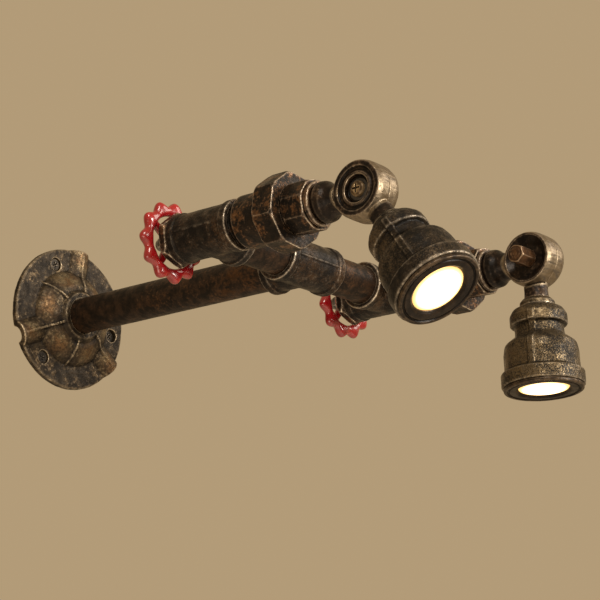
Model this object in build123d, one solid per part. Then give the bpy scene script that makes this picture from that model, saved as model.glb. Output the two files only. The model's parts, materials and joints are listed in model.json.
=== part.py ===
from build123d import *
import math
import os

# Industrial pipe wall light: two lamps on a tee-branched pipe arm.
# Frame: origin at the centre of the wall flange's back face, wall plane Y = 0,
# the arm runs out along -Y, +X to the right as seen from the room, +Z up.
# All dimensions in millimetres.

# ---------------------------------------------------------------- dimensions
# pipe and fittings
PIPE_R = 10.65          # outer radius of a DN15 pipe
PIPE_BORE = 8.0         # inner radius
GRIP = 10.5             # thread engagement in a fitting
TEE_R = 12.7            # tee body radius
BRANCH_R = 12.3         # tee branch radius
BAND_R = 13.6           # radius of the reinforcing band at each tee end
BAND_W = 4.6            # width of that band
HALF = 21.2             # tee centre to face, run and branch alike
TEE_BORE = 8.6          # inside passage of a tee
SEAM_H = 0.45           # height of the parting-line ridge of a casting
SEAM_W = 1.1
ARM_X = 72.0            # sideways distance of each lamp arm from the main pipe
TEE_Y = 189.5           # wall to the common plane of the three tees

# wall flange
FL_R = 43.1
FL_T = 4.0
FL_HUB_R = 14.4
FL_HUB_H = 15.5
FL_CONE_R = 28.5
FL_PCD = 68.6
FL_HOLE_R = 4.0
FL_HOLES = (114.0, 234.0, 354.0)
FL_HUMPS = (84.0, 204.0, 324.0)
FL_HUMP_R = 8.4
FL_ARCH_R = 4.8
FL_SEAT = 3.5           # end of the pipe above the back face
FL_RIDGES = (24.0, 84.0, 144.0, 204.0, 264.0, 324.0)

# rear bonnet, stem and handwheel
BON_AF = 26.0
BON_T = 4.4
BON_BORE = 3.06
STEM_R = 3.0
WH_H = 160.0            # wheel plane, distance from the wall
WH_R = 17.1             # centre line of the rim
WH_LOBES = 11
WH_LOBE_R = 19.7
WH_LOBE_BALL = 3.7
WH_SPOKES = 4
WH_LOBE_PHASE = {"left": 183.0, "right": 196.4}
WH_SPOKE_PHASE = {"left": 149.0, "right": 146.0}

# union
UT_NECK_R = PIPE_R
UT_BODY = (215.4, 234.0)
UT_BODY_R = 14.1
UT_THREAD_R = 15.2
UN_SPAN = (234.5, 247.7)
UN_AF = 37.5
UN_PHASE = -5.6
UE_SPAN = (248.0, 261.8)
UE_AF = 25.4
UE_PHASE = 14.9
BUSH_R = 11.6
BUSH_T = 2.6
BUSH_THREAD_R = 9.4
SHANK_R = 5.0
SHANK_BORE = 5.06

# knuckle
KN_Y = 292.1            # wall to the tilt axis
KN_R = 15.0             # crown radius of the drum
KN_FACE_R = 14.1
KN_W = 16.2             # both halves together
KN_GAP = 0.1            # gap between the two halves
KN_CLEAR = 15.45        # radius swept free by the opposite half
KN_SCREW_R = 2.5
CAP_END = 17.6          # end of the cap nut from the middle plane
NECK_R = 6.6

# lamp head, measured along its own axis from the tilt axis
TILT = {"left": 37.5, "right": 4.0}   # forward tilt from straight down
LH_NECK_END = 22.0
LH_COLLAR_R = 9.4
LH_TOP = 26.4
LH_END = 70.6
BZ_END = 72.8
BZ_R = 21.3
BZ_SKIRT_R = 17.4
LENS_R = 13.25
RIB_W = 3.4
RIB_H = 0.7
RIB_AZ = (162.0, 342.0)
STUD_R = 5.0

WIRE_R = 1.3

os.makedirs("parts", exist_ok=True)
SIDES = {"left": -1.0, "right": 1.0}


# ------------------------------------------------------------------- helpers
def outline(points):
    """Closed outline from (r, h) or (r, h, fillet) points with true arcs at the corners."""
    pts = [(p[0], p[1], p[2] if len(p) > 2 else 0.0) for p in points]
    n = len(pts)
    ends = []
    for i, (x, y, f) in enumerate(pts):
        ax, ay, _ = pts[i - 1]
        bx, by, _ = pts[(i + 1) % n]
        if f <= 0:
            ends.append(((x, y), None, (x, y)))
            continue
        ux, uy = ax - x, ay - y
        vx, vy = bx - x, by - y
        lu, lv = math.hypot(ux, uy), math.hypot(vx, vy)
        ux, uy, vx, vy = ux / lu, uy / lu, vx / lv, vy / lv
        half = math.acos(max(-1.0, min(1.0, ux * vx + uy * vy))) / 2
        t = f / math.tan(half)
        wx, wy = ux + vx, uy + vy
        lw = math.hypot(wx, wy)
        wx, wy = wx / lw, wy / lw
        d = f / math.sin(half) - f
        ends.append(((x + ux * t, y + uy * t), (x + wx * d, y + wy * d), (x + vx * t, y + vy * t)))
    edges = []
    for i in range(n):
        a, m, b = ends[i]
        if m is not None:
            edges.append(ThreePointArc(a, m, b))
        nxt = ends[(i + 1) % n][0]
        if math.hypot(b[0] - nxt[0], b[1] - nxt[1]) > 1e-6:
            edges.append(Line(b, nxt))
    return Wire(edges)


def turned(points):
    """Solid of revolution about +Z from (r, h[, fillet]) points."""
    face = Face(Plane.XZ.location * outline(points))
    return revolve(face, Axis.Z, 360)


def tube(r, bore, h0, h1, soft=0.0):
    if bore > 0:
        return turned([(bore, h0), (r, h0, soft), (r, h1, soft), (bore, h1)])
    return turned([(0, h0), (r, h0, soft), (r, h1, soft), (0, h1)])


def prism(sides, across, h0, h1, phase=0.0):
    """Regular prism about +Z with the given width across flats."""
    corner = across / 2 / math.cos(math.pi / sides)
    flat = RegularPolygon(corner, sides, rotation=phase + 180.0 / sides)
    return Pos(0, 0, h0) * extrude(flat, h1 - h0)


def nut_shape(sides, across, h0, h1, phase=0.0, soft=1.2):
    """Prism with turned, chamfered corners at both ends."""
    corner = across / 2 / math.cos(math.pi / sides)
    run = min(corner - across / 2 + 0.3, 0.3 * (h1 - h0))
    turn = turned([(0, h0), (corner - soft, h0), (corner + 0.01, h0 + run),
                   (corner + 0.01, h1 - run), (corner - soft, h1), (0, h1)])
    return prism(sides, across, h0, h1, phase) & turn


def out(side):
    """Places a piece drawn about +Z (height = distance from the wall) on a lamp arm."""
    return Pos(SIDES[side] * ARM_X, 0, 0) * Rot(90, 0, 0)


def head(side):
    """Places a piece drawn about the lamp axis from the tilt axis."""
    return Pos(SIDES[side] * ARM_X, -KN_Y, 0) * Rot(180 - TILT[side], 0, 0)


made = []


def save(shape, name):
    solids = shape.solids()
    shape = solids[0] if len(solids) == 1 else Compound(children=list(solids))
    export_step(shape, f"parts/{name}.step")
    made.append((name, shape))


# --------------------------------------------------------------- wall flange
def flange():
    body = turned([(0, 0), (FL_R, 0, 0.6), (FL_R, FL_T, 1.1), (FL_CONE_R + 0.5, FL_T, 0.5),
                   (FL_CONE_R - 0.6, 6.2, 2.2), (24.6, 9.6, 5.0), (19.6, 12.6, 5.0),
                   (FL_HUB_R + 1.6, 12.9, 0.8), (FL_HUB_R + 0.2, FL_HUB_H - 0.8, 0.4),
                   (FL_HUB_R - 0.3, FL_HUB_H, 0.4), (0, FL_HUB_H)])
    keep = turned([(0, 0), (FL_R, 0, 0.6), (FL_R, 7.0, 1.5), (FL_R - 1.6, 30), (0, 30)])
    for a in FL_HUMPS:
        hump = Rot(0, 0, a) * (Pos(16, 0, 0) * Rot(0, 90, 0) * Cylinder(
            FL_HUMP_R, 32, align=(Align.CENTER, Align.CENTER, Align.MIN)))
        top = Pos(0, 0, 20) * Box(120, 120, 40)
        body = body + (hump & top & keep)
    # cast ridges from the hub down the cone
    for a in FL_RIDGES:
        reach = 40.5 if a in FL_HUMPS else 30.2
        fin = Plane.XZ * make_face(Polyline(
            (13.0, 12.0), (13.0, FL_HUB_H - 0.3), (15.2, 14.9), (19.9, 13.6), (25.1, 10.4),
            (28.4, 7.0 if a not in FL_HUMPS else 9.4),
            (reach, FL_T + 0.2 if a not in FL_HUMPS else 8.9),
            (reach, FL_T - 1.5), (13.0, FL_T - 1.5), close=True))
        body = body + Rot(0, 0, a) * extrude(fin, 0.7, both=True)
    # arches under the humps
    for a in FL_HUMPS:
        body = body - Rot(0, 0, a) * (Pos(20, 0, 0) * Rot(0, 90, 0) * Cylinder(
            FL_ARCH_R, 30, align=(Align.CENTER, Align.CENTER, Align.MIN)))
    for a in FL_HOLES:
        x, y = FL_PCD / 2 * math.cos(math.radians(a)), FL_PCD / 2 * math.sin(math.radians(a))
        body = body - Pos(x, y, 0) * Cylinder(FL_HOLE_R, 40)
    body = body - tube(PIPE_R, 0, FL_SEAT, 40) - tube(PIPE_BORE, 0, -1, 40)
    return Rot(90, 0, 0) * body


# ----------------------------------------------------------------------- tee
def tee():
    """Run along Z, branch along +X, centred on the crossing."""
    def run(r, band, grow=0.0):
        return turned([(0, -HALF - grow), (band, -HALF - grow, 0.7), (band, -HALF + BAND_W, 0.8),
                       (r, -HALF + BAND_W + 0.9, 0.6), (r, HALF - BAND_W - 0.9, 0.6),
                       (band, HALF - BAND_W, 0.8), (band, HALF + grow, 0.7), (0, HALF + grow)])

    def branch(r, band):
        return Rot(0, 90, 0) * turned([(0, 0), (r, 0), (r, HALF - BAND_W - 0.9, 0.6),
                                       (band, HALF - BAND_W, 0.8), (band, HALF, 0.7), (0, HALF)])

    solid = run(TEE_R, BAND_R) + branch(BRANCH_R, BAND_R)
    # a soft throat where the branch leaves the run
    edges = [e for e in solid.edges() if e.geom_type == GeomType.BSPLINE and e.length > 20]
    solid = fillet(edges, 2.2)
    # parting-line ridge in the plane that holds both axes
    ridge = (turned([(0, -HALF + 0.6), (TEE_R + SEAM_H, -HALF + 0.6), (TEE_R + SEAM_H, HALF - 0.6),
                     (0, HALF - 0.6)])
             + Rot(0, 90, 0) * turned([(0, 0), (BRANCH_R + SEAM_H, 0), (BRANCH_R + SEAM_H, HALF - 0.6),
                                       (0, HALF - 0.6)]))
    ridge = ridge & Box(200, SEAM_W, 200)
    solid = solid + ridge
    for s in (1, -1):
        solid = solid - (tube(PIPE_R, 0, HALF - GRIP, HALF + 5) if s > 0
                         else tube(PIPE_R, 0, -HALF - 5, -HALF + GRIP))
    solid = solid - tube(TEE_BORE, 0, -HALF, HALF)
    solid = solid - Rot(0, 90, 0) * tube(PIPE_R, 0, HALF - GRIP, HALF + 5)
    solid = solid - Rot(0, 90, 0) * tube(TEE_BORE, 0, 0, HALF)
    return solid


# ------------------------------------------------------- fixed arm, root body
save(flange(), "wall_flange")
save(Rot(90, 0, 0) * turned([(PIPE_BORE, FL_SEAT), (PIPE_R, FL_SEAT, 0.4),
                             (PIPE_R, TEE_Y - HALF + GRIP, 0.4),
                             (PIPE_BORE, TEE_Y - HALF + GRIP)]), "main_pipe")

tee_solid = tee()
# centre tee: run along X, branch towards the wall (+Y)
save(Pos(0, -TEE_Y, 0) * Rot(0, 0, 90) * Rot(90, 0, 0) * tee_solid, "centre_tee")
# side tees: run along Y, branch towards the main pipe
for side, s in SIDES.items():
    turn = Rot(90, 0, 0) if s < 0 else Rot(0, 180, 0) * Rot(90, 0, 0)
    save(Pos(s * ARM_X, -TEE_Y, 0) * turn * tee_solid, f"tee_{side}")
    inner = HALF - GRIP
    nip = Rot(0, 90, 0) * turned([(PIPE_BORE, inner), (PIPE_R, inner, 0.4),
                                  (PIPE_R, ARM_X - inner, 0.4), (PIPE_BORE, ARM_X - inner)])
    save(Pos(0, -TEE_Y, 0) * (Rot(0, 0, 180) if s < 0 else Rot(0, 0, 0)) * nip, f"nipple_{side}")

for side, s in SIDES.items():
    back = TEE_Y - HALF                      # rear face of the side tee
    # bonnet: screwed plug with a hexagonal flange and the stem bore
    plug = tube(PIPE_R, 0, back, back + GRIP - 0.5, 0.5)
    plug = plug + nut_shape(6, BON_AF, back - BON_T, back, 10.0, 1.6)
    plug = plug + turned([(0, back - BON_T - 0.3), (7.4, back - BON_T - 0.3, 0.3), (8.0, back - BON_T + 0.5),
                          (8.0, back - 1), (0, back - 1)])
    plug = plug - tube(BON_BORE, 0, back - 20, back + 20)
    save(out(side) * plug, f"bonnet_{side}")

    # union tail: threaded neck in the tee, stepped body, male thread in the nut
    t0, t1 = UT_BODY
    tail = turned([(PIPE_BORE, TEE_Y + HALF - GRIP), (UT_NECK_R, TEE_Y + HALF - GRIP, 0.5),
                   (UT_NECK_R, TEE_Y + HALF), (UT_NECK_R - 0.5, TEE_Y + HALF + 0.2),
                   (UT_NECK_R - 0.5, t0), (UT_BODY_R, t0, 0.9), (UT_BODY_R, t1, 0.4),
                   (UT_THREAD_R, t1 + 0.5), (UT_THREAD_R, UN_SPAN[1] - 5.0), (PIPE_BORE, UN_SPAN[1] - 5.0)])
    save(out(side) * tail, f"union_tail_{side}")
    # union nut: octagonal, inner lip holds the collar of the end piece
    n0, n1 = UN_SPAN
    nut = nut_shape(8, UN_AF, n0 + 0.05, n1, UN_PHASE, 1.0)
    nut = nut - tube(UT_THREAD_R, 0, n0 - 1, n1 - 2.8) - tube(12.75, 0, n0, n1 + 1)
    save(out(side) * nut, f"union_nut_{side}")
    # union end: collar, neck through the nut's lip, octagonal body
    e0, e1 = UE_SPAN
    end = turned([(0, n1 - 4.95), (15.1, n1 - 4.95), (15.1, n1 - 2.85), (12.3, n1 - 2.85), (12.3, e0 + 1),
                  (0, e0 + 1)])
    end = end + nut_shape(8, UE_AF, e0, e1, UE_PHASE, 0.9)
    end = end - tube(PIPE_BORE, 0, 0, e1 + 5) - tube(BUSH_THREAD_R, 0, e1 - 8.0, e1 + 5)
    save(out(side) * end, f"union_end_{side}")
    # end bushing: round ring screwed into the union end, bored for the swivel shank
    bush = turned([(SHANK_BORE, e1 - 7.8), (BUSH_THREAD_R, e1 - 7.8, 0.5), (BUSH_THREAD_R, e1),
                   (BUSH_R, e1, 0.6), (BUSH_R, e1 + BUSH_T, 0.9), (9.8, e1 + BUSH_T, 0.3),
                   (9.2, e1 + BUSH_T - 0.9), (SHANK_BORE, e1 + BUSH_T - 0.9)])
    save(out(side) * bush, f"end_bushing_{side}")

# ---------------------------------------------------- handwheel on its stem
for side, s in SIDES.items():
    back = TEE_Y - HALF
    stem = turned([(0, WH_H - 9.0), (2.0, WH_H - 9.0, 0.3), (2.0, WH_H - 3.6), (STEM_R, WH_H - 3.6),
                   (STEM_R, back + GRIP - 0.35), (5.4, back + GRIP - 0.35), (5.4, back + GRIP + 1.6, 0.4),
                   (0, back + GRIP + 1.6)])
    save(out(side) * stem, f"valve_stem_{side}")

    # hub with its spokes, rounded rim, then the lobes
    wheel = turned([(0, WH_H - 3.6), (5.2, WH_H - 3.6, 0.8), (6.6, WH_H - 0.6, 0.8),
                    (6.4, WH_H + 3.0, 0.8), (0, WH_H + 3.0)])
    for k in range(WH_SPOKES):
        a = WH_SPOKE_PHASE[side] + 360.0 * k / WH_SPOKES
        wheel = wheel + Pos(0, 0, WH_H) * Rot(0, 0, a) * Pos(3.5, 0, 0) * Rot(0, 90, 0) * Cone(
            2.2, 1.65, WH_R - 1.1 - 3.5, align=(Align.CENTER, Align.CENTER, Align.MIN))
    rim = turned([(WH_R - 2.8, WH_H - 2.8, 1.1), (WH_R + 2.8, WH_H - 2.8, 2.0),
                  (WH_R + 2.8, WH_H + 2.8, 2.0), (WH_R - 2.8, WH_H + 2.8, 1.1)])
    wheel = rim + wheel
    for k in range(WH_LOBES):
        a = WH_LOBE_PHASE[side] + 360.0 * k / WH_LOBES
        wheel = wheel + Pos(0, 0, WH_H) * Rot(0, 0, a) * Pos(WH_LOBE_R, 0, 0) * Rot(0, 0, 20) * Sphere(WH_LOBE_BALL)
    wheel = wheel - tube(STEM_R, 0, WH_H - 3.6, WH_H + 8) - tube(2.0, 0, WH_H - 12, WH_H)
    save(out(side) * wheel, f"handwheel_{side}")

    cap = nut_shape(6, 8.0, WH_H - 6.4, WH_H - 3.6, 0.0, 0.5)
    cap = cap + turned([(0, WH_H - 9.8), (3.2, WH_H - 8.6, 1.2), (3.4, WH_H - 6.0), (0, WH_H - 6.0)])
    cap = cap - tube(2.0, 0, WH_H - 9.0, WH_H)
    save(out(side) * cap, f"wheel_nut_{side}")

# -------------------------------------------------------- knuckle, arm half
e1 = UE_SPAN[1]


def turn_x(shape, s):
    """Turns +Z to +X (s > 0) or to -X."""
    return (Rot(0, 90, 0) if s > 0 else Rot(0, -90, 0)) * shape


def drum(s):
    """Plain half drum about +X on the side s of the middle plane."""
    return turn_x(turned([(0, KN_GAP / 2), (KN_R, KN_GAP / 2, 0.15), (KN_R - 0.1, 5.2, 6.0),
                          (KN_FACE_R, KN_W / 2, 0.5), (0, KN_W / 2)]), s)


def face_rings(s):
    """What is turned out of the drum's outer face: a dished ring and the screw's recess."""
    w = KN_W / 2
    return turn_x(turned([(0, w - 3.4), (6.8, w - 3.4, 0.6), (7.2, w - 0.5, 0.35), (8.6, w - 0.5, 0.35),
                          (9.4, w - 1.3, 0.5), (11.2, w - 1.0, 0.4), (11.6, w + 4.0), (0, w + 4.0)]), s)


def face_bowl(s):
    """What is turned out of the arm half's outer face: a smooth bowl around the cap nut."""
    w = KN_W / 2
    return turn_x(turned([(0, w - 3.4), (8.6, w - 3.4, 3.6), (12.7, w - 0.25, 0.4), (12.9, w + 4.0), (0, w + 4.0)]), s)


def cleared(shape, s):
    """Cuts what would foul the opposite half, lying on side s of the middle plane."""
    block = Rot(0, 90, 0) * Cylinder(KN_CLEAR, 30, align=(Align.CENTER, Align.CENTER, Align.MIN))
    if s < 0:
        block = Rot(0, 180, 0) * block
    return shape - Pos(-s * KN_GAP / 2, 0, 0) * block


for side, s in SIDES.items():
    # the arm half lies on the inner side of the left lamp and of the right lamp alike,
    # so that the two lamps mirror each other
    arm_side = -s
    half = drum(arm_side)
    # neck, bulged next to the bushing, drawn back from the tilt axis along local +Z
    reach = KN_Y - (e1 + BUSH_T - 0.8)
    neck = turned([(0, 3.0), (7.0, 3.0), (7.0, 16.0, 4.0), (8.4, reach - 8.6, 4.0), (10.3, reach - 6.2, 2.5),
                   (10.7, reach - 3.2, 1.8), (9.0, reach, 0.6), (0, reach)])
    shank = tube(SHANK_R, 0, reach - 1, KN_Y - (e1 - 11.5), 0.5)
    stalk = cleared(Rot(-90, 0, 0) * (neck + shank), -arm_side)
    piece = half + stalk - face_bowl(arm_side)
    piece = piece - Rot(0, 90, 0) * Cylinder(KN_SCREW_R, 60)
    piece = piece - Rot(-90, 0, 0) * tube(2.2, 0, 17.5, 60)
    save(Pos(s * ARM_X, -KN_Y, 0) * piece, f"knuckle_arm_{side}")

    # lock nut and spring washer inside the union end hold the shank
    lock = nut_shape(6, 13.0, e1 - 11.3, e1 - 8.0, 0.0, 0.8) - tube(SHANK_R, 0, 0, e1 + 30)
    save(out(side) * lock, f"arm_lock_nut_{side}")

    # clamp screw: pan head in the head half's recess, nut on the arm half
    w = KN_W / 2
    to_head = 90 if -arm_side > 0 else -90          # turns +Z towards the head half
    floor = w - 3.4
    screw = turned([(0, -w - 5.0), (KN_SCREW_R, -w - 5.0, 0.3), (KN_SCREW_R, 0.1), (KN_SCREW_R, floor + 0.7),
                    (4.2, floor + 0.7, 0.3), (4.0, floor + 2.3, 1.2), (2.2, floor + 3.3, 1.5),
                    (0, floor + 3.5)])
    slot = Pos(0, 0, floor + 3.3) * (Box(1.0, 4.6, 1.6) + Box(4.6, 1.0, 1.6))
    screw = screw - slot
    save(Pos(s * ARM_X, -KN_Y, 0) * Rot(0, to_head, 0) * screw, f"knuckle_screw_{side}")
    washer = tube(5.6, KN_SCREW_R, floor + 0.08, floor + 0.7, 0.15)
    save(Pos(s * ARM_X, -KN_Y, 0) * Rot(0, to_head, 0) * washer, f"knuckle_washer_{side}")
    # long cap nut standing proud of the arm half
    nutd = nut_shape(6, 9.0, -CAP_END, -floor, 15.0, 0.6)
    nutd = nutd + turned([(0, -CAP_END - 0.5), (2.6, -CAP_END - 0.5, 0.4), (3.6, -CAP_END, 0.2),
                          (3.6, -CAP_END + 1.0), (0, -CAP_END + 1.0)])
    nutd = nutd - tube(KN_SCREW_R, 0, -w - 5.0, 10)
    save(Pos(s * ARM_X, -KN_Y, 0) * Rot(0, to_head, 0) * nutd, f"knuckle_nut_{side}")

# ------------------------------------------------------- knuckle, head half
for side, s in SIDES.items():
    head_side = s
    half = drum(head_side)
    neck = turned([(0, 3.0), (NECK_R, 3.0), (NECK_R - 0.25, 17.5, 8.0), (NECK_R, LH_NECK_END - 0.8, 0.3),
                   (NECK_R, LH_NECK_END), (STUD_R, LH_NECK_END), (STUD_R, 34.0, 0.5), (0, 34.0)])
    piece = half + cleared(neck, -head_side) - face_rings(head_side)
    piece = piece - Rot(0, 90, 0) * Cylinder(KN_SCREW_R + 0.06, 60)
    piece = piece - tube(2.2, 0, 16.5, 60)
    save(head(side) * piece, f"knuckle_head_{side}")

    collar = turned([(STUD_R, LH_NECK_END), (7.6, LH_NECK_END, 0.4), (LH_COLLAR_R, LH_NECK_END + 2.0, 0.8),
                     (LH_COLLAR_R, LH_TOP, 0.5), (STUD_R, LH_TOP)])
    save(head(side) * collar, f"head_collar_{side}")

    # lamp housing: cast bell reducer
    shell = turned([(0, LH_TOP), (9.6, LH_TOP, 0.3), (13.4, 28.2, 3.0), (15.4, 31.6, 2.2), (15.4, 36.8, 0.7),
                    (13.1, 37.3, 0.6), (13.1, 43.0, 3.4), (19.2, 47.6, 4.2), (20.0, 52.5, 5.0),
                    (20.2, 62.4, 0.5), (22.3, 63.4, 0.8), (22.3, LH_END, 0.9), (0, LH_END)])
    ribs = turned([(0, LH_TOP + 2.2), (13.4 + RIB_H, 28.2 + 1.0, 3.0), (15.4 + RIB_H, 31.8, 2.0),
                   (15.4 + RIB_H, 36.4, 0.7), (13.1 + RIB_H, 38.0, 0.8), (13.1 + RIB_H, 43.0, 3.0),
                   (19.4 + RIB_H, 47.8, 4.2), (20.0 + RIB_H, 52.5, 5.0), (20.2 + RIB_H, 63.0), (0, 63.0)])
    fins = None
    for az in RIB_AZ:
        f = ribs & (Rot(0, 0, az) * Pos(15, 0, 50) * Box(30, RIB_W, 80))
        fins = f if fins is None else fins + f
    shell = shell + fins
    cavity = turned([(0, 31.0), (9.6, 31.0, 0.6), (9.6, 42.0, 2.0), (15.6, 48.5, 3.0), (16.2, 56.0, 2.0),
                     (16.2, 60.0), (BZ_SKIRT_R, 60.2), (BZ_SKIRT_R, LH_END + 1), (0, LH_END + 1)])
    shell = shell - cavity - tube(STUD_R, 0, 20, 34)
    save(head(side) * shell, f"lamp_housing_{side}")

    save(head(side) * (nut_shape(6, 13.0, 31.05, 33.6, 0.0, 0.8) - tube(STUD_R, 0, 20, 40)),
         f"head_lock_nut_{side}")

    # bezel: screwed ring with two steps round the lens
    bezel = turned([(15.6, 62.0), (BZ_SKIRT_R, 62.0, 0.3), (BZ_SKIRT_R, LH_END + 0.1), (BZ_R, LH_END + 0.1, 0.5),
                    (BZ_R, BZ_END - 0.1, 0.8), (19.6, BZ_END, 0.3), (19.2, BZ_END - 1.0, 0.2),
                    (18.5, BZ_END - 1.0, 0.2), (18.1, BZ_END - 0.2, 0.2),
                    (15.2, BZ_END - 0.2, 0.4), (13.5, BZ_END - 1.6, 0.2), (13.5, 70.6), (15.6, 70.6)])
    save(head(side) * bezel, f"bezel_{side}")

    # lens: disc held behind the bezel's lip, low dome through it
    lens = turned([(0, 68.6), (15.5, 68.6, 0.2), (15.5, 70.5, 0.2), (LENS_R, 70.5), (LENS_R, 71.5, 0.3),
                   (8.0, 72.25, 12.0), (0, 72.35)])
    save(head(side) * lens, f"lens_{side}")

    # optic cup between the light source and the lens
    cup = turned([(4.6, 60.3), (5.8, 60.3), (15.2, 68.5), (14.0, 68.5)])
    save(head(side) * cup, f"reflector_{side}")

    # light source on its aluminium board
    board = tube(15.2, 0, 58.6, 60.2, 0.1) + tube(3.8, 0, 60.2, 61.0, 0.2)
    save(head(side) * board, f"led_board_{side}")

    sink = tube(15.6, 0, 54.4, 58.6, 0.2)
    for k in range(6):
        sink = sink + Pos(-12.5 + 5.0 * k, 0, 0) * (
            Pos(0, 0, 51.4) * Box(1.4, 2 * math.sqrt(max(1.0, 14.6 ** 2 - (abs(-12.5 + 5.0 * k) + 0.7) ** 2)), 6.2))
    sink = sink - Pos(2.5, 0, 0) * tube(1.5, 0, 45, 60)
    save(head(side) * sink, f"heat_sink_{side}")

    driver = tube(8.8, 0, 35.2, 46.4, 0.8) - tube(1.6, 0, 30, 36.5)
    save(head(side) * driver, f"led_driver_{side}")

    lead = tube(WIRE_R, 0, 17.0, 36.4) + Pos(2.5, 0, 0) * tube(WIRE_R, 0, 46.5, 58.5)
    save(head(side) * lead, f"head_lead_{side}")

# -------------------------------------------------- leads inside the pipework
block = Pos(0, -24.0, 0) * (Box(9.4, 12.0, 9.4) - Pos(2.6, -5, 0) * Box(2.7, 4, 2.7) - Pos(-2.6, -5, 0) * Box(2.7, 4, 2.7))
block = chamfer(block.edges().filter_by(Axis.Y).group_by(Axis.X)[0], 0.8)
save(block, "terminal_block")
for side, s in SIDES.items():
    x0 = 2.6 * s
    path = FilletPolyline((x0, -27.5, 0), (x0, -TEE_Y + 1.5, 0), (s * (ARM_X - 1.5), -TEE_Y + 1.5, 0),
                          (s * (ARM_X - 1.5), -(e1 - 13.5), 0), radius=7.0)
    start = Plane(origin=(x0, -27.5, 0), z_dir=(0, -1, 0))
    wire = sweep(start * Circle(WIRE_R), path=path)
    save(wire, f"lead_{side}")

total = sum(sum(p.volume for p in shape.solids()) for _, shape in made)
print(len(made), "nodes, volume", round(total), "mm3")
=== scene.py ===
import bpy
import bmesh
import json
import math
import numpy as np
from mathutils import Matrix, Vector


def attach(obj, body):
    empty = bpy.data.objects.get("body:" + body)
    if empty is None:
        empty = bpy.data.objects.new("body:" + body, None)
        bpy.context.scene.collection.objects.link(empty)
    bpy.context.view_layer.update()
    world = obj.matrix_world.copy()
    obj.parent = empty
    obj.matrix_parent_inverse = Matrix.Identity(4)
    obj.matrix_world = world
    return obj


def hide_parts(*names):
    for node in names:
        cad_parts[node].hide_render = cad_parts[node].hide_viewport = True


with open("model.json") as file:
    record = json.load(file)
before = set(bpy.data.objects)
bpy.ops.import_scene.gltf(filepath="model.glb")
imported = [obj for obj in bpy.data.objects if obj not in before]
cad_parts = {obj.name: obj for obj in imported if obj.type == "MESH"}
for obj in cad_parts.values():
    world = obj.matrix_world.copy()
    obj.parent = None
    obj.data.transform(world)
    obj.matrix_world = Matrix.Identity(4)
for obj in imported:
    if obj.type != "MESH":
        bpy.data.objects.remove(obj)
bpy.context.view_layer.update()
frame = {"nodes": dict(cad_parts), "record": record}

NODES = frame["nodes"]
BODY = {n: b for b, ns in frame["record"]["behaviour"]["bodies"].items() for n in ns}
SLOT = {s["node"]: s["material_slot"] for s in frame["record"]["subparts"]}
scene = bpy.context.scene
for name in ("Cube", "Light", "Camera"):
    if name in bpy.data.objects:
        bpy.data.objects.remove(bpy.data.objects[name])

MM = 0.001

# ------------------------------------------------------------------- camera
CAM_AT = Vector((-747.88, -840.27, -301.59)) * MM
AZ, EL, ROLL = map(math.radians, (-48.92, -15.84, 0.93))
back = Vector((math.sin(AZ) * math.cos(EL), -math.cos(AZ) * math.cos(EL), math.sin(EL)))
right = Vector((0, 0, 1)).cross(back).normalized()
up = back.cross(right)
r2 = right * math.cos(ROLL) + up * math.sin(ROLL)
u2 = up * math.cos(ROLL) - right * math.sin(ROLL)
cam_data = bpy.data.cameras.new("camera")
cam_data.sensor_width = 36.0
cam_data.lens = 1900.0 / 600.0 * 36.0
cam_data.clip_start, cam_data.clip_end = 0.05, 50.0
cam = bpy.data.objects.new("camera", cam_data)
scene.collection.objects.link(cam)
cam.matrix_world = Matrix(((r2.x, u2.x, back.x, CAM_AT.x), (r2.y, u2.y, back.y, CAM_AT.y),
                           (r2.z, u2.z, back.z, CAM_AT.z), (0, 0, 0, 1)))
scene.camera = cam


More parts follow.
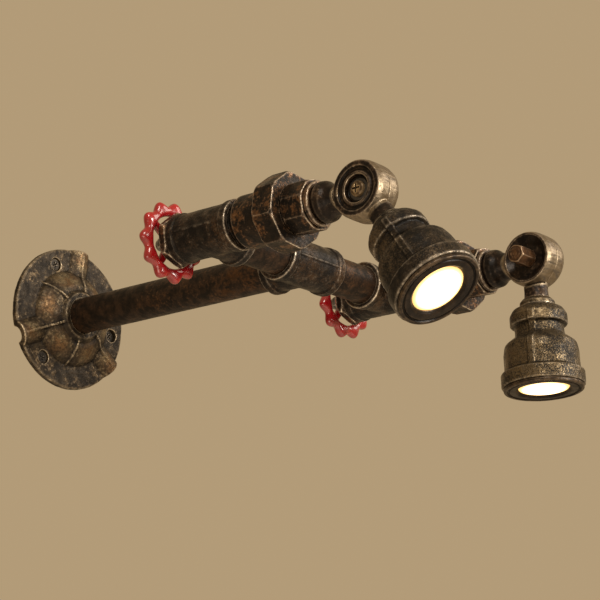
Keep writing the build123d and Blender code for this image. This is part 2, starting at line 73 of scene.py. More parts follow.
# ------------------------------------------------------------ node material
class Net:
    """Small helper for building a procedural material."""

    def __init__(self, name):
        self.mat = bpy.data.materials.new(name)
        self.mat.use_nodes = True
        self.t = self.mat.node_tree
        self.t.nodes.clear()
        self.out = self.t.nodes.new("ShaderNodeOutputMaterial")
        self.coord = self.t.nodes.new("ShaderNodeTexCoord").outputs["Object"]

    def link(self, a, b):
        self.t.links.new(a, b)

    def put(self, socket, value):
        if isinstance(value, bpy.types.NodeSocket):
            self.link(value, socket)
        else:
            if hasattr(socket.default_value, "__len__") and not hasattr(value, "__len__"):
                value = (value,) * len(socket.default_value)
            if hasattr(value, "__len__") and len(value) == 3 and len(socket.default_value) == 4:
                value = (*value, 1.0)
            socket.default_value = value

    def noise(self, scale, detail=4.0, rough=0.55, distort=0.0, coord=None):
        n = self.t.nodes.new("ShaderNodeTexNoise")
        n.inputs["Scale"].default_value = scale
        n.inputs["Detail"].default_value = detail
        n.inputs["Roughness"].default_value = rough
        n.inputs["Distortion"].default_value = distort
        self.link(coord or self.coord, n.inputs["Vector"])
        return n.outputs["Fac"]

    def voronoi(self, scale, feature="F1", coord=None):
        n = self.t.nodes.new("ShaderNodeTexVoronoi")
        n.feature = feature
        n.inputs["Scale"].default_value = scale
        self.link(coord or self.coord, n.inputs["Vector"])
        return n.outputs["Distance"]

    def mapping(self, scale=(1, 1, 1), rot=(0, 0, 0), loc=(0, 0, 0)):
        n = self.t.nodes.new("ShaderNodeMapping")
        n.inputs["Scale"].default_value = scale
        n.inputs["Rotation"].default_value = rot
        n.inputs["Location"].default_value = loc
        self.link(self.coord, n.inputs["Vector"])
        return n.outputs["Vector"]

    def ramp(self, fac, lo, hi, a=0.0, b=1.0, smooth=True):
        n = self.t.nodes.new("ShaderNodeMapRange")
        n.interpolation_type = "SMOOTHSTEP" if smooth else "LINEAR"
        n.inputs["From Min"].default_value = lo
        n.inputs["From Max"].default_value = hi
        n.inputs["To Min"].default_value = a
        n.inputs["To Max"].default_value = b
        self.link(fac, n.inputs["Value"])
        return n.outputs["Result"]

    def math(self, op, a, b=0.0, clamp=False):
        n = self.t.nodes.new("ShaderNodeMath")
        n.operation = op
        n.use_clamp = clamp
        self.put(n.inputs[0], a)
        self.put(n.inputs[1], b)
        return n.outputs[0]

    def mix(self, fac, a, b, mode="MIX"):
        n = self.t.nodes.new("ShaderNodeMix")
        n.data_type = "RGBA"
        n.blend_type = mode
        self.put(n.inputs["Factor"], fac)
        self.put(n.inputs[6], a)
        self.put(n.inputs[7], b)
        return n.outputs[2]

    def attribute(self, name):
        n = self.t.nodes.new("ShaderNodeAttribute")
        n.attribute_name = name
        return n.outputs["Fac"]

    def normal_z(self):
        n = self.t.nodes.new("ShaderNodeNewGeometry")
        s = self.t.nodes.new("ShaderNodeSeparateXYZ")
        self.link(n.outputs["Normal"], s.inputs[0])
        return s.outputs["Z"]

    def bump(self, height, distance, strength=1.0, normal=None):
        n = self.t.nodes.new("ShaderNodeBump")
        n.inputs["Strength"].default_value = strength
        n.inputs["Distance"].default_value = distance
        self.link(height, n.inputs["Height"])
        if normal is not None:
            self.link(normal, n.inputs["Normal"])
        return n.outputs["Normal"]

    def shader(self, color, rough, metal, normal=None, **extra):
        s = self.t.nodes.new("ShaderNodeBsdfPrincipled")
        self.put(s.inputs["Base Color"], color)
        self.put(s.inputs["Roughness"], rough)
        self.put(s.inputs["Metallic"], metal)
        if normal is not None:
            self.link(normal, s.inputs["Normal"])
        for k, v in extra.items():
            self.put(s.inputs[k.replace("_", " ")], v)
        self.link(s.outputs[0], self.out.inputs["Surface"])
        return s


def antique(name, base, dark, rub, patch_color, wear=0.8, patch=0.5, grain=1.0, rough=(0.34, 0.56), streak=None,
            speckle=0.4, polish_sheen=False, patch_size=60.0, glow=False, gritty=0.75,
            cover=(0.50, 0.80)):
    """Near-black enamel, dry-brushed with bronze: thin bright lines on the edges, grainy rubbed patches between,
    painted shade in the hollows; with glow, a painted highlight on the flange's cushions, and on the drums a brushed
    sheen that is partly painted.
    """
    m = Net(name)
    edge = m.attribute("edge")                     # 0 in hollows, 0.5 flat, above 1 on edges
    fine = m.noise(1500.0, 4.0, 0.65)
    sand = m.noise(620.0, 4.0, 0.65)
    mid = m.noise(190.0, 4.0, 0.6, 0.3)
    big = m.noise(patch_size, 4.0, 0.6, 0.5)
    centred = m.math("SUBTRACT", sand, 0.5)
    # thin worn edges, broken up by the grain
    e = m.math("ADD", edge, m.math("MULTIPLY", m.math("SUBTRACT", mid, 0.5), 0.50))
    e = m.math("ADD", e, m.math("MULTIPLY", centred, 0.45))
    worn = m.math("MULTIPLY", m.ramp(e, 0.80, 1.04), wear, True)
    soft = m.math("MULTIPLY", m.ramp(e, 0.56, 0.90), 0.35 * wear, True)
    # painted shade: the hollows are darkened towards a third of the dark tone, further down
    hollow = m.ramp(edge, 0.44, 0.20)
    # dry-brushed patches, grainy at their borders
    grit = m.math("SUBTRACT", fine, 0.5) if gritty > 1 else centred
    p = m.math("ADD", big, m.math("MULTIPLY", grit, gritty))
    p = m.math("ADD", p, m.math("MULTIPLY", m.math("SUBTRACT", mid, 0.5), 0.35))
    patches = m.math("MULTIPLY", m.ramp(p, *cover), patch)
    if streak is not None:
        st = m.noise(1.0, 5.0, 0.62, 0.0, m.mapping(streak))
        st = m.math("ADD", st, m.math("MULTIPLY", centred, 0.55))
        st = m.math("ADD", st, m.math("MULTIPLY", m.math("SUBTRACT", big, 0.5), 1.1))
        patches = m.math("MAXIMUM", patches, m.math("MULTIPLY", m.ramp(st, 0.50, 0.86), patch))
    color = m.mix(m.ramp(mid, 0.38, 0.66), dark, base)
    color = m.mix(patches, color, patch_color)
    if glow:
        # painted highlight, partly rubbed bronze: gold on the flange's cushion middles and hump tops
        gl = m.math("MULTIPLY", m.attribute("glow"), m.ramp(m.math("ADD", sand, centred), 0.36, 0.60, 0.22, 0.60))
        color = m.mix(gl, color, m.mix(m.ramp(big, 0.42, 0.62), (0.27, 0.155, 0.075), (0.36, 0.27, 0.15)))
        patches = m.math("MAXIMUM", patches, gl)
    dots = m.math("MULTIPLY", m.ramp(m.math("ADD", sand, m.math("MULTIPLY", m.math("SUBTRACT", big, 0.5), 0.5)),
                                     0.56, 0.74), speckle)
    color = m.mix(dots, color, tuple(0.5 * (x + y) for x, y in zip(rub, patch_color)))
    color = m.mix(soft, color, tuple(0.45 * x + 0.55 * y for x, y in zip(rub, patch_color)))
    color = m.mix(worn, color, rub)
    color = m.mix(m.math("MULTIPLY", hollow, 0.8), color, tuple(0.3 * c for c in dark))
    bare = m.math("MAXIMUM", m.math("MAXIMUM", worn, patches), dots)
    metal = m.ramp(bare, 0.0, 0.6, 0.15, 0.9)
    shine = m.ramp(mid, 0.3, 0.7, rough[1], rough[0])
    h = m.math("ADD", m.math("MULTIPLY", fine, 0.25), m.math("MULTIPLY", sand, 0.6))
    h = m.math("ADD", h, m.math("MULTIPLY", mid, 1.4))
    if polish_sheen:
        # the drums' turned sides: brushed across their width, and brightened as a painted sheen
        pol = m.attribute("polish_sheen")
        lines = m.noise(1.0, 3.0, 0.6, 0.0, m.mapping((60.0, 900.0, 900.0)))
        lines2 = m.noise(1.0, 4.0, 0.65, 0.0, m.mapping((160.0, 300.0, 300.0)))
        amount = m.math("MULTIPLY", pol, m.ramp(lines2, 0.34, 0.52, 0.30, 1.0))
        color = m.mix(amount, color, m.mix(lines, (0.085, 0.064, 0.042), (0.38, 0.30, 0.205)))
        shine = m.math("ADD", shine, m.math("MULTIPLY", pol, 0.05), True)
        metal = m.math("MAXIMUM", metal, m.math("MULTIPLY", amount, 0.95))
        h = m.math("ADD", h, m.math("MULTIPLY", m.math("MULTIPLY", lines, pol), 0.8))
    m.shader(color, shine, metal, m.bump(h, 0.00016 * grain, 1.0), Specular_IOR_Level=0.13)
    return m.mat


LIGHT_EDGE = (0.66, 0.57, 0.46)
MATS = {
    "cast_flange": antique("cast_flange", (0.034, 0.025, 0.016), (0.012, 0.0088, 0.006), (0.56, 0.45, 0.31),
                           (0.15, 0.10, 0.053), wear=0.85, patch=0.50, grain=1.7, rough=(0.36, 0.54), speckle=0.30,
                           patch_size=110.0, glow=True),
    "iron_pipe": antique("iron_pipe", (0.028, 0.016, 0.0095), (0.009, 0.006, 0.004), (0.30, 0.17, 0.09),
                         (0.115, 0.056, 0.027), wear=0.5, patch=0.55, grain=0.9, rough=(0.36, 0.54),
                         streak=(140.0, 46.0, 140.0), speckle=0.22, patch_size=38.0),
    "pipe_cross": antique("pipe_cross", (0.028, 0.016, 0.0095), (0.009, 0.006, 0.004), (0.30, 0.17, 0.09),
                          (0.11, 0.054, 0.027), wear=0.5, patch=0.50, grain=0.9, rough=(0.36, 0.54),
                          streak=(46.0, 140.0, 140.0), speckle=0.22, patch_size=38.0),
    "cast_fitting": antique("cast_fitting", (0.018, 0.014, 0.011), (0.0065, 0.0052, 0.0044), LIGHT_EDGE,
                            (0.125, 0.070, 0.037), wear=0.90, patch=0.58, grain=1.5, rough=(0.30, 0.50),
                            speckle=0.13, patch_size=60.0, gritty=1.1, cover=(0.46, 0.82)),
    "machined_fitting": antique("machined_fitting", (0.022, 0.0145, 0.0095), (0.007, 0.0055, 0.0045), LIGHT_EDGE,
                                (0.25, 0.115, 0.046), wear=0.95, patch=0.68, grain=1.1, rough=(0.26, 0.46),
                                speckle=0.16, patch_size=85.0),
    "knuckle_iron": antique("knuckle_iron", (0.020, 0.013, 0.009), (0.007, 0.005, 0.004), (0.56, 0.45, 0.33),
                            (0.15, 0.085, 0.048), wear=0.8, patch=0.28, grain=0.8, rough=(0.24, 0.42),
                            speckle=0.14, polish_sheen=True),
    # lamp_casting gives the right lamp more and brighter rubbed patches, partly dry-brush and partly a painted
    # highlight; lamp_shaded_copy is a darker copy of the same finish for the left lamp, painted shade
    "lamp_casting": antique("lamp_casting", (0.020, 0.015, 0.010), (0.007, 0.0055, 0.0045), LIGHT_EDGE,
                            (0.225, 0.165, 0.094), wear=0.6, patch=0.80, grain=1.6, rough=(0.30, 0.46),
                            speckle=0.10, patch_size=38.0, gritty=1.5, cover=(0.42, 0.80)),
    "lamp_shaded_copy": antique("lamp_shaded_copy", (0.016, 0.012, 0.009), (0.006, 0.005, 0.004), LIGHT_EDGE,
                           (0.20, 0.14, 0.080), wear=0.7, patch=0.50, grain=1.6, rough=(0.30, 0.48),
                           speckle=0.08, patch_size=38.0, gritty=1.5, cover=(0.48, 0.86)),
    "bezel_black": antique("bezel_black", (0.018, 0.012, 0.008), (0.008, 0.0055, 0.004), (0.26, 0.18, 0.11),
                           (0.045, 0.027, 0.015), wear=0.30, patch=0.25, grain=0.7, rough=(0.26, 0.42), speckle=0.06),
    "screw_brass": antique("screw_brass", (0.10, 0.060, 0.028), (0.035, 0.022, 0.012), (0.60, 0.46, 0.28),
                           (0.26, 0.16, 0.07), wear=0.8, patch=0.4, grain=0.5, rough=(0.20, 0.36)),
    "cap_nut": antique("cap_nut", (0.085, 0.042, 0.020), (0.030, 0.016, 0.009), (0.50, 0.36, 0.24),
                       (0.20, 0.10, 0.05), wear=0.5, patch=0.5, grain=0.8, rough=(0.26, 0.42)),
    "sunk_screw": antique("sunk_screw", (0.030, 0.025, 0.020), (0.012, 0.010, 0.009), (0.30, 0.25, 0.19),
                          (0.10, 0.075, 0.05), wear=0.5, patch=0.3, grain=0.6, rough=(0.34, 0.5)),
    "hardware_steel": antique("hardware_steel", (0.22, 0.20, 0.18), (0.09, 0.08, 0.07), (0.55, 0.52, 0.48),
                              (0.30, 0.26, 0.22), wear=0.7, patch=0.3, grain=0.5, rough=(0.28, 0.45)),
    "led_aluminium": antique("led_aluminium", (0.60, 0.60, 0.60), (0.42, 0.42, 0.42), (0.8, 0.8, 0.8),
                             (0.5, 0.5, 0.5), wear=0.4, patch=0.2, grain=0.4, rough=(0.3, 0.5)),
    "reflector": antique("reflector", (0.72, 0.62, 0.42), (0.60, 0.50, 0.33), (0.85, 0.78, 0.6),
                         (0.7, 0.6, 0.4), wear=0.3, patch=0.2, grain=0.2, rough=(0.15, 0.3)),
}


def enamel():
    m = Net("handwheel_red")
    edge = m.attribute("edge")
    mid = m.noise(160.0, 4.0, 0.6)
    fine = m.noise(700.0, 4.0, 0.6)
    color = m.mix(m.ramp(mid, 0.3, 0.7), (0.20, 0.003, 0.006), (0.33, 0.006, 0.010))
    e = m.math("ADD", edge, m.math("MULTIPLY", m.math("SUBTRACT", fine, 0.5), 0.6))
    chips = m.math("MULTIPLY", m.ramp(e, 1.0, 1.15), 0.35)
    color = m.mix(chips, color, (0.42, 0.05, 0.045))
    # painted shade: darker red in the hollows
    color = m.mix(m.math("MULTIPLY", m.ramp(edge, 0.46, 0.2), 0.75), color, (0.045, 0.002, 0.003))
    n = m.bump(m.math("ADD", m.math("MULTIPLY", mid, 1.5), m.math("MULTIPLY", fine, 0.25)), 0.00025, 0.8)
    m.shader(color, m.ramp(mid, 0.3, 0.7, 0.30, 0.18), 0.0, n, Coat_Weight=0.6, Coat_Roughness=0.12,
             Specular_IOR_Level=0.6)
    return m.mat


def plain(name, base, rough, grain=0.3):
    m = Net(name)
    mid = m.noise(300.0, 4.0, 0.6)
    color = m.mix(mid, tuple(0.8 * c for c in base), base)
    m.shader(color, m.ramp(mid, 0.3, 0.7, rough - 0.08, rough + 0.08), 0.0, m.bump(mid, 0.0001 * grain))
    return m.mat


MATS["handwheel_red"] = enamel()
MATS["potting_plastic"] = plain("potting_plastic", (0.72, 0.71, 0.67), 0.5)
MATS["wire_insulation"] = plain("wire_insulation", (0.03, 0.03, 0.032), 0.45)


def glow_lens():
    """Lit diffuser: hot centre, warm gold rim. The ring is drawn from the piece's own 'rim' attribute."""
    m = Net("lens_glass")
    rim = m.attribute("rim")
    pores = m.noise(650.0, 3.0, 0.5)
    color = m.mix(m.ramp(rim, 0.55, 1.0), (1.0, 0.93, 0.72), (0.90, 0.62, 0.22))
    s = m.shader(color, m.ramp(pores, 0.3, 0.7, 0.30, 0.42), 0.0, m.bump(pores, 0.00008, 0.6))
    m.put(s.inputs["Emission Color"], m.mix(m.ramp(rim, 0.62, 1.0), (1.0, 0.90, 0.66), (1.0, 0.60, 0.20)))
    m.put(s.inputs["Emission Strength"], m.math("ADD", m.ramp(rim, 0.70, 1.0, 5.0, 1.1),
                                                m.math("MULTIPLY", pores, 0.15)))
    return m.mat


MATS["lens_glass"] = glow_lens()


# ------------------------------------------------------- cast surfaces
def lattice_noise(p, seed):
    """Smooth value noise in [-1, 1] at the rows of p."""
    i = np.floor(p).astype(np.int64)
    f = p - i
    f = f * f * f * (f * (f * 6 - 15) + 10)

    def corner(dx, dy, dz):
        h = ((i[:, 0] + dx) * 374761393 + (i[:, 1] + dy) * 668265263 + (i[:, 2] + dz) * 2147483647
             + seed * 974634777) & 0xFFFFFFFF
        h = ((h ^ (h >> 13)) * 1274126177) & 0xFFFFFFFF
        h = ((h ^ (h >> 16)) * 2246822519) & 0xFFFFFFFF
        return ((h ^ (h >> 15)) & 0xFFFFFF) / float(0x7FFFFF) - 1.0

    def blend(a, b, t):
        return a + (b - a) * t

    x, y, z = f[:, 0], f[:, 1], f[:, 2]
    return blend(blend(blend(corner(0, 0, 0), corner(1, 0, 0), x), blend(corner(0, 1, 0), corner(1, 1, 0), x), y),
                 blend(blend(corner(0, 0, 1), corner(1, 0, 1), x), blend(corner(0, 1, 1), corner(1, 1, 1), x), y), z)


def fractal(p, size, octaves, seed):
    total, amp, norm = np.zeros(len(p)), 1.0, 0.0
    for k in range(octaves):
        total += amp * lattice_noise(p / size * 2 ** k + 17.3 * k, seed + k)
        norm += amp
        amp *= 0.5
    return total / norm


class Graph:
    """Averages over a mesh's edges."""

    def __init__(self, me):
        self.n = len(me.vertices)
        e = np.empty(len(me.edges) * 2, np.int32)
        me.edges.foreach_get("vertices", e)
        self.a, self.b = e[0::2].copy(), e[1::2].copy()
        self.deg = np.maximum(1, np.bincount(self.a, minlength=self.n) + np.bincount(self.b, minlength=self.n))

    def mean(self, v):
        if v.ndim == 1:
            return (np.bincount(self.a, v[self.b], self.n) + np.bincount(self.b, v[self.a], self.n)) / self.deg
        return np.stack([self.mean(v[:, k]) for k in range(v.shape[1])], axis=1)


def coords(me):
    co = np.empty(len(me.vertices) * 3)
    me.vertices.foreach_get("co", co)
    return co.reshape(-1, 3)


def normals(me):
    n = np.empty(len(me.vertices) * 3)
    me.vertex_normals.foreach_get("vector", n)
    return n.reshape(-1, 3)


def set_coords(me, co):
    me.vertices.foreach_set("co", co.astype(np.float32).ravel())
    me.update()


def write_attribute(me, name, values):
    a = me.attributes.get(name) or me.attributes.new(name, "FLOAT", "POINT")
    a.data.foreach_set("value", np.asarray(values, np.float32))


def weld(me, dist):
    bm = bmesh.new()
    bm.from_mesh(me)
    bmesh.ops.remove_doubles(bm, verts=bm.verts, dist=dist)
    bm.to_mesh(me)
    bm.free()


def edge_mask(me, graph, fine=0.42, wide=2.4, k_fine=0.54, k_wide=0.30):
    """0.5 on flat ground, towards 1 on convex edges and towards 0 in hollows; lengths in mm."""
    co, n = coords(me), normals(me)
    d = co[graph.b] - co[graph.a]
    l2 = np.maximum(1e-9, np.einsum("ij,ij->i", d, d))
    at_a = -2 * np.einsum("ij,ij->i", d, n[graph.a]) / l2
    at_b = 2 * np.einsum("ij,ij->i", d, n[graph.b]) / l2
    k = (np.bincount(graph.a, at_a, graph.n) + np.bincount(graph.b, at_b, graph.n)) / graph.deg
    k = np.clip(k, -2.5, 2.5)
    step = math.sqrt(float(np.mean(l2)))
    out, done, parts = k, 0, []
    for reach in (fine, wide):
        rounds = int(min(90, max(1, round(2.0 * (reach / step) ** 2))))
        while done < rounds:
            out = 0.5 * out + 0.5 * graph.mean(out)
            done += 1
        parts.append(out.copy())
    return np.clip(0.5 + k_fine * parts[0] + k_wide * (parts[1] - np.median(parts[1])), 0.0, 1.3)


def finish_mesh(me, name, nodes, body, mat):
    me.transform(Matrix.Scale(MM, 4))
    me.polygons.foreach_set("use_smooth", np.ones(len(me.polygons), bool))
    me.materials.clear()
    me.materials.append(mat)
    me.update()
    ob = bpy.data.objects.new(name, me)
    scene.collection.objects.link(ob)
    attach(ob, body)
    if nodes:
        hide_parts(*nodes)
    return ob


def remeshed(me, voxel):
    ob = bpy.data.objects.new("working", me)
    scene.collection.objects.link(ob)
    mod = ob.modifiers.new("voxel", "REMESH")
    mod.mode = "VOXEL"
    mod.voxel_size = voxel
    mod.adaptivity = 0.0
    dg = bpy.context.evaluated_depsgraph_get()
    made = bpy.data.meshes.new_from_object(ob.evaluated_get(dg))
    bpy.data.objects.remove(ob)
    return made


def skin(node, suffix, voxel=0.45, smooth=4, lump=0.08, lump_size=6.0, grain=0.05, grain_size=1.1, mat=None,
         shape=None, extra=None, blank=None, **mask):
    """A cast or machined piece's finished surface: soft edges, sand-cast unevenness and a wear mask."""
    me = blank
    if me is None:
        me = NODES[node].data.copy()
        me.transform(Matrix.Scale(1 / MM, 4))
        weld(me, 1e-3)
    made = remeshed(me, voxel)
    bpy.data.meshes.remove(me)
    g = Graph(made)
    co = coords(made)
    for _ in range(smooth):
        co = co + 0.5 * (g.mean(co) - co)
        co = co - 0.52 * (g.mean(co) - co)
    co = co + 0.35 * (g.mean(co) - co)
    if shape is not None:
        co = shape(co)
    set_coords(made, co)
    edge = edge_mask(made, g, **mask)
    if extra is not None:
        edge = extra(made, co, edge)
    write_attribute(made, "edge", edge)
    seed = sum(ord(c) for c in node)
    h = lump * fractal(co, lump_size, 2, seed) + grain * fractal(co, grain_size, 2, seed + 50)
    set_coords(made, co + normals(made) * h[:, None])
    return finish_mesh(made, f"{node}_{suffix}", [node], BODY[node], mat or MATS[SLOT[node]])


# ------------------------------------------------------------ turned pieces
def lathe(points, turns=160):
    """Mesh of revolution about +Z in mm from an open (r, h) profile whose ends lie on the axis."""
    bm = bmesh.new()
    rings = []
    for r, h in points:
        if r < 1e-6:
            rings.append([bm.verts.new((0, 0, h))])
        else:
            rings.append([bm.verts.new((r * math.cos(2 * math.pi * k / turns), r * math.sin(2 * math.pi * k / turns), h))
                          for k in range(turns)])
    for a, b in zip(rings, rings[1:]):
        for k in range(turns):
            j = (k + 1) % turns
            if len(a) == 1:
                bm.faces.new((a[0], b[k], b[j]))
            elif len(b) == 1:
                bm.faces.new((a[j], a[k], b[0]))
            else:
                bm.faces.new((a[j], a[k], b[k], b[j]))
    bmesh.ops.recalc_face_normals(bm, faces=bm.faces)
    me = bpy.data.meshes.new("lathe")
    bm.to_mesh(me)
    bm.free()
    return me


def arc(cx, cy, r, a0, a1, n=8):
    return [(cx + r * math.cos(math.radians(a0 + (a1 - a0) * k / n)),
             cy + r * math.sin(math.radians(a0 + (a1 - a0) * k / n))) for k in range(n + 1)]


# --------------------------------------------------------------- the pieces
SIDES = ("left", "right")
KN_Y, ARM_X, KN_FACE = 292.1, 72.0, 13.6
ARM = {"left": -ARM_X, "right": ARM_X}


WHEEL_Y, WHEEL_R = 160.0, 16.7
LOBES = {"left": 183.0, "right": 196.4}
SPOKES = {"left": 149.0, "right": 146.0}


def wheel_blank(side):
    """Cast handwheel in mm: scalloped round rim, four tapering spokes, domed hub."""
    bm = bmesh.new()
    nt, nf = 396, 32
    rows = []
    for i in range(nt):
        t = 2 * math.pi * i / nt
        lobe = (0.5 + 0.5 * math.cos(11 * (t - math.radians(LOBES[side])))) ** 0.95
        row = []
        for j in range(nf):
            f = 2 * math.pi * j / nf
            out = max(math.cos(f), 0.0)
            r = WHEEL_R + 2.6 * math.cos(f) + 3.0 * lobe * out ** 0.55
            h = 2.6 * math.sin(f) * (1 + 0.18 * lobe)
            row.append(bm.verts.new((r * math.cos(t), r * math.sin(t), h)))
        rows.append(row)
    for i in range(nt):
        for j in range(nf):
            k, l = (i + 1) % nt, (j + 1) % nf
            bm.faces.new((rows[i][j], rows[k][j], rows[k][l], rows[i][l]))
    for k in range(4):
        a = math.radians(SPOKES[side] + 90 * k)
        bmesh.ops.create_cone(bm, cap_ends=True, segments=32, radius1=2.7, radius2=1.9, depth=WHEEL_R - 3.0,
                              matrix=Matrix.Rotation(a, 4, "Z") @ Matrix.Translation((3.0 + (WHEEL_R - 3.0) / 2, 0, 0))
                              @ Matrix.Rotation(math.radians(90), 4, "Y"))
    bmesh.ops.recalc_face_normals(bm, faces=bm.faces)
    me = bpy.data.meshes.new("wheel")
    bm.to_mesh(me)
    bm.free()
    hub = lathe([(0, -3.4), (4.6, -3.4), (5.6, -2.6), (6.4, -0.6), (6.3, 2.2), (5.6, 2.9), (0, 3.0)], 64)
    both = bmesh.new()
    both.from_mesh(me)
    both.from_mesh(hub)
    both.to_mesh(me)
    both.free()
    me.transform(Matrix.Translation((ARM[side], -WHEEL_Y, 0)) @ Matrix.Rotation(math.radians(90), 4, "X"))
    return me


# spots of painted highlight and rub on the flange, as (angle, width, radius)
RUB_HIGHLIGHT_SPOTS = [(54, 15, 23.2), (114, 17, 23.4), (174, 17, 23.4), (234, 16, 22.6), (294, 15, 22.4), (354, 14, 22.4),
        (84, 8, 34.5), (84, 7, 39.5), (324, 8, 35.0), (324, 7, 40.0), (204, 7, 37.0)]


def panel_rub_and_highlight(me, co, edge):
    """Rubbed middles of the flange's six cushions and the tops of its humps, with a painted highlight laid on them as
    well.
    """
    r = np.hypot(co[:, 0], co[:, 2])
    a = np.degrees(np.arctan2(co[:, 2], co[:, 0]))
    glow = np.zeros(len(co))
    for at, width, rad in RUB_HIGHLIGHT_SPOTS:
        d = (a - at + 180) % 360 - 180
        glow = np.maximum(glow, np.exp(-(d / width) ** 2) * np.exp(-((r - rad) / 4.6) ** 2))
    write_attribute(me, "glow", glow)
    return edge


def painted_shade_neck(me, co, edge):
    """Painted shade on the tail's neck, deep in the gap next to the tee: no wear there, and darkened as a hollow."""
    in_gap = np.clip((co[:, 1] + 214.6) / 0.8, 0, 1)
    return edge * (1 - in_gap) + 0.16 * in_gap


def drum_sheen_and_seam(side):
    """Polish on the drum's turned side, brightened as a painted sheen, and no wear where its two halves meet."""
    def done(me, co, edge):
        x, y, z = co[:, 0] - ARM[side], co[:, 1] + KN_Y, co[:, 2]
        r = np.hypot(y, z)
        on_side = np.clip((r - KN_FACE) / 0.5, 0, 1) * np.clip((17.0 - r) / 1.0, 0, 1) * (np.abs(x) < 7.9)
        write_attribute(me, "polish_sheen", on_side)
        near_gap = np.clip(1 - np.abs(x) / 1.8, 0, 1) * (r > 12.0) * (r < 16.5)
        return edge * (1 - near_gap) + 0.5 * near_gap
    return done


skin("wall_flange", "casting", 0.5, 3, 0.16, 7.0, 0.09, 1.3, extra=panel_rub_and_highlight)
skin("main_pipe", "tube", 0.62, 5, 0.05, 9.0, 0.035, 1.3)
skin("centre_tee", "casting", 0.42, 3, 0.12, 6.0, 0.08, 1.2)
for s in SIDES:
    skin(f"nipple_{s}", "tube", 0.6, 5, 0.05, 9.0, 0.035, 1.3, mat=MATS["pipe_cross"])
    skin(f"tee_{s}", "casting", 0.42, 3, 0.12, 6.0, 0.08, 1.2)
    skin(f"bonnet_{s}", "turned", 0.4, 3, 0.05, 6.0, 0.04, 1.0)
    skin(f"union_tail_{s}", "turned", 0.45, 3, 0.08, 7.0, 0.05, 1.1, extra=painted_shade_neck)
    skin(f"union_nut_{s}", "casting", 0.45, 3, 0.10, 7.0, 0.06, 1.1)
    skin(f"union_end_{s}", "casting", 0.42, 3, 0.08, 7.0, 0.05, 1.1)
    skin(f"end_bushing_{s}", "turned", 0.32, 2, 0.03, 6.0, 0.03, 1.0)
    skin(f"knuckle_arm_{s}", "casting", 0.34, 3, 0.03, 6.0, 0.02, 1.0, extra=drum_sheen_and_seam(s))
    skin(f"knuckle_head_{s}", "casting", 0.34, 3, 0.03, 6.0, 0.02, 1.0, extra=drum_sheen_and_seam(s))
    skin(f"knuckle_screw_{s}", "turned", 0.2, 2, 0.0, 6.0, 0.012, 0.8, fine=0.4, wide=1.2)
    skin(f"knuckle_nut_{s}", "turned", 0.22, 2, 0.0, 6.0, 0.015, 0.8, mat=MATS["cap_nut"], fine=0.4, wide=1.2)
    skin(f"head_collar_{s}", "turned", 0.3, 3, 0.03, 6.0, 0.03, 1.0)
    # the left lamp's housing takes the darker copy: painted shade
    skin(f"lamp_housing_{s}", "casting", 0.45, 3, 0.10, 7.0, 0.06, 1.1,
         mat=MATS["lamp_shaded_copy" if s == "left" else "lamp_casting"])
    skin(f"handwheel_{s}", "enamelled", 0.36, 6, 0.10, 5.0, 0.02, 1.4, blank=wheel_blank(s))
    skin(f"wheel_nut_{s}", "turned", 0.22, 2, 0.0, 6.0, 0.015, 0.8, fine=0.4, wide=1.2)
    skin(f"bezel_{s}", "turned", 0.3, 2, 0.02, 6.0, 0.015, 0.9, fine=0.5, wide=1.4)

for n, ob in NODES.items():
    ob.data.materials.clear()
    ob.data.materials.append(MATS[SLOT[n]])


# lamp axes: from the tilt axis down the lamp, as in the solids
TILT = {"left": 37.5, "right": 4.0}
HEAD = {s: Matrix.Translation((x, -KN_Y, 0)) @ Matrix.Rotation(math.radians(180 - TILT[s]), 4, "X")
        for s, x in (("left", -ARM_X), ("right", ARM_X))}

for s in SIDES:
    # lens: flat inner face, shallow dome outside
    pts = [(0, 68.6), (6, 68.6), (12, 68.6), (15.2, 68.65), (15.5, 68.9), (15.5, 70.2), (15.3, 70.5), (13.3, 70.55),
           (13.25, 71.2), (13.0, 71.45), (12.2, 71.62), (10.5, 71.88), (8.5, 72.08), (6.0, 72.22), (3.0, 72.32), (0, 72.35)]
    me = lathe(pts)
    co = coords(me)
    r = np.hypot(co[:, 0], co[:, 1])
    write_attribute(me, "rim", np.clip(r / 13.25, 0, 1.2))
    me.transform(HEAD[s])
    finish_mesh(me, f"lens_{s}_diffuser", [f"lens_{s}"], BODY[f"lens_{s}"], MATS["lens_glass"])

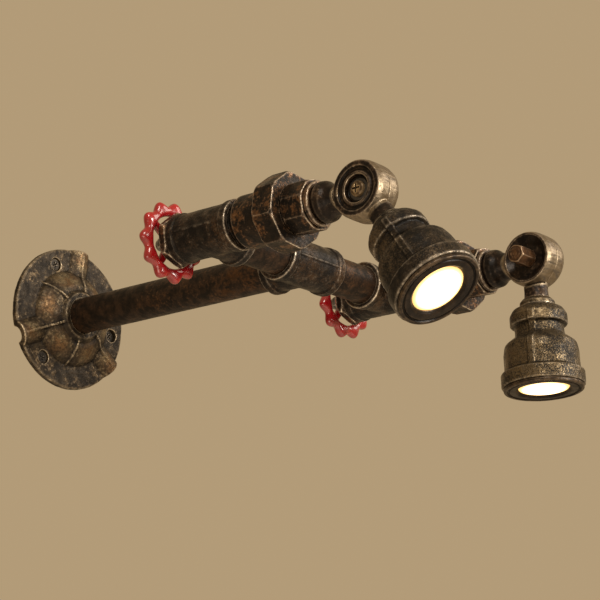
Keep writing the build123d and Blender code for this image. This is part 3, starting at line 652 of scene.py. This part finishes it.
# wall screws, sunk in the flange's holes, short of the wall's face
for k, (ang, top) in enumerate(((114.0, 2.9), (234.0, 3.0), (354.0, 1.5))):
    head_r = 3.72
    pts = [(0, 0.25), (head_r - 0.2, 0.25), (head_r, 0.45), (head_r, top - 0.7)] + \
          arc(head_r - 0.9, top - 0.7, 0.9, 0, 75, 5) + [(1.6, top + 0.22), (0, top + 0.25)]
    me = lathe(pts, 72)
    bm = bmesh.new()
    bm.from_mesh(me)
    cross = bpy.data.meshes.new("cross")
    bx = bmesh.new()
    for w, l in ((0.8, 3.6), (3.6, 0.8)):
        bmesh.ops.create_cube(bx, size=1.0, matrix=Matrix.Translation((0, 0, top)) @ Matrix.Diagonal((w, l, 1.4, 1)))
    bx.to_mesh(cross)
    bx.free()
    bm.free()
    ob = bpy.data.objects.new("screw_blank", me)
    cut = bpy.data.objects.new("cross", cross)
    for o in (ob, cut):
        scene.collection.objects.link(o)
    mod = ob.modifiers.new("cut", "BOOLEAN")
    mod.operation = "DIFFERENCE"
    mod.solver = "EXACT"
    mod.use_self = True
    mod.object = cut
    made = bpy.data.meshes.new_from_object(ob.evaluated_get(bpy.context.evaluated_depsgraph_get()))
    for o in (ob, cut):
        bpy.data.objects.remove(o)
    made2 = remeshed(made, 0.2)
    g = Graph(made2)
    co = coords(made2)
    for _ in range(2):
        co = co + 0.5 * (g.mean(co) - co)
        co = co - 0.52 * (g.mean(co) - co)
    set_coords(made2, co)
    write_attribute(made2, "edge", edge_mask(made2, g, fine=0.4, wide=1.2))
    a = math.radians(ang)
    made2.transform(Matrix.Translation((34.3 * math.cos(a), 0, 34.3 * math.sin(a))) @ Matrix.Rotation(math.radians(90), 4, "X")
                    @ Matrix.Rotation(0.5 + 0.9 * k, 4, "Z"))
    finish_mesh(made2, f"wall_screw_{k + 1}", [], "root", MATS["sunk_screw"])


# -------------------------------------------------------------- surroundings
def area(name, at, look, size, power, color):
    d = bpy.data.lights.new(name, "AREA")
    d.shape = "RECTANGLE"
    d.size, d.size_y = size
    d.energy = power
    d.color = color
    o = bpy.data.objects.new(name, d)
    scene.collection.objects.link(o)
    o.location = at
    o.rotation_mode = "QUATERNION"
    o.rotation_quaternion = (Vector(look) - Vector(at)).to_track_quat("-Z", "Y")
    return o


middle = (0.0, -0.2, 0.0)
area("key", (-1.1, -1.4, 1.2), middle, (0.7, 0.7), 21.0, (1.0, 0.93, 0.82))
area("front", (0.35, -2.0, 0.25), middle, (0.7, 0.7), 42.0, (1.0, 0.94, 0.84))
area("side", (1.3, -1.2, 0.9), middle, (0.6, 0.9), 8.0, (1.0, 0.92, 0.82))
area("low", (-1.2, -0.7, -0.55), middle, (0.9, 0.5), 5.0, (1.0, 0.88, 0.72))

world = bpy.data.worlds.new("studio")
scene.world = world
world.use_nodes = True
bg = world.node_tree.nodes["Background"]
bg.inputs["Color"].default_value = (0.56, 0.41, 0.235, 1.0)
bg.inputs["Strength"].default_value = 0.80

fm = Net("floor_plain")
soft = fm.noise(3.0, 3.0, 0.5)
fm.shader(fm.mix(soft, (0.74, 0.70, 0.63), (0.78, 0.74, 0.67)), 0.8, 0.0)
bm = bmesh.new()
bmesh.ops.create_grid(bm, x_segments=8, y_segments=8, size=60.0, matrix=Matrix.Translation((0, 0, -1.25)))
me = bpy.data.meshes.new("floor")
bm.to_mesh(me)
bm.free()
me.materials.append(fm.mat)
floor = bpy.data.objects.new("floor", me)
scene.collection.objects.link(floor)

scene.view_settings.view_transform = "Standard"
scene.view_settings.look = "None"
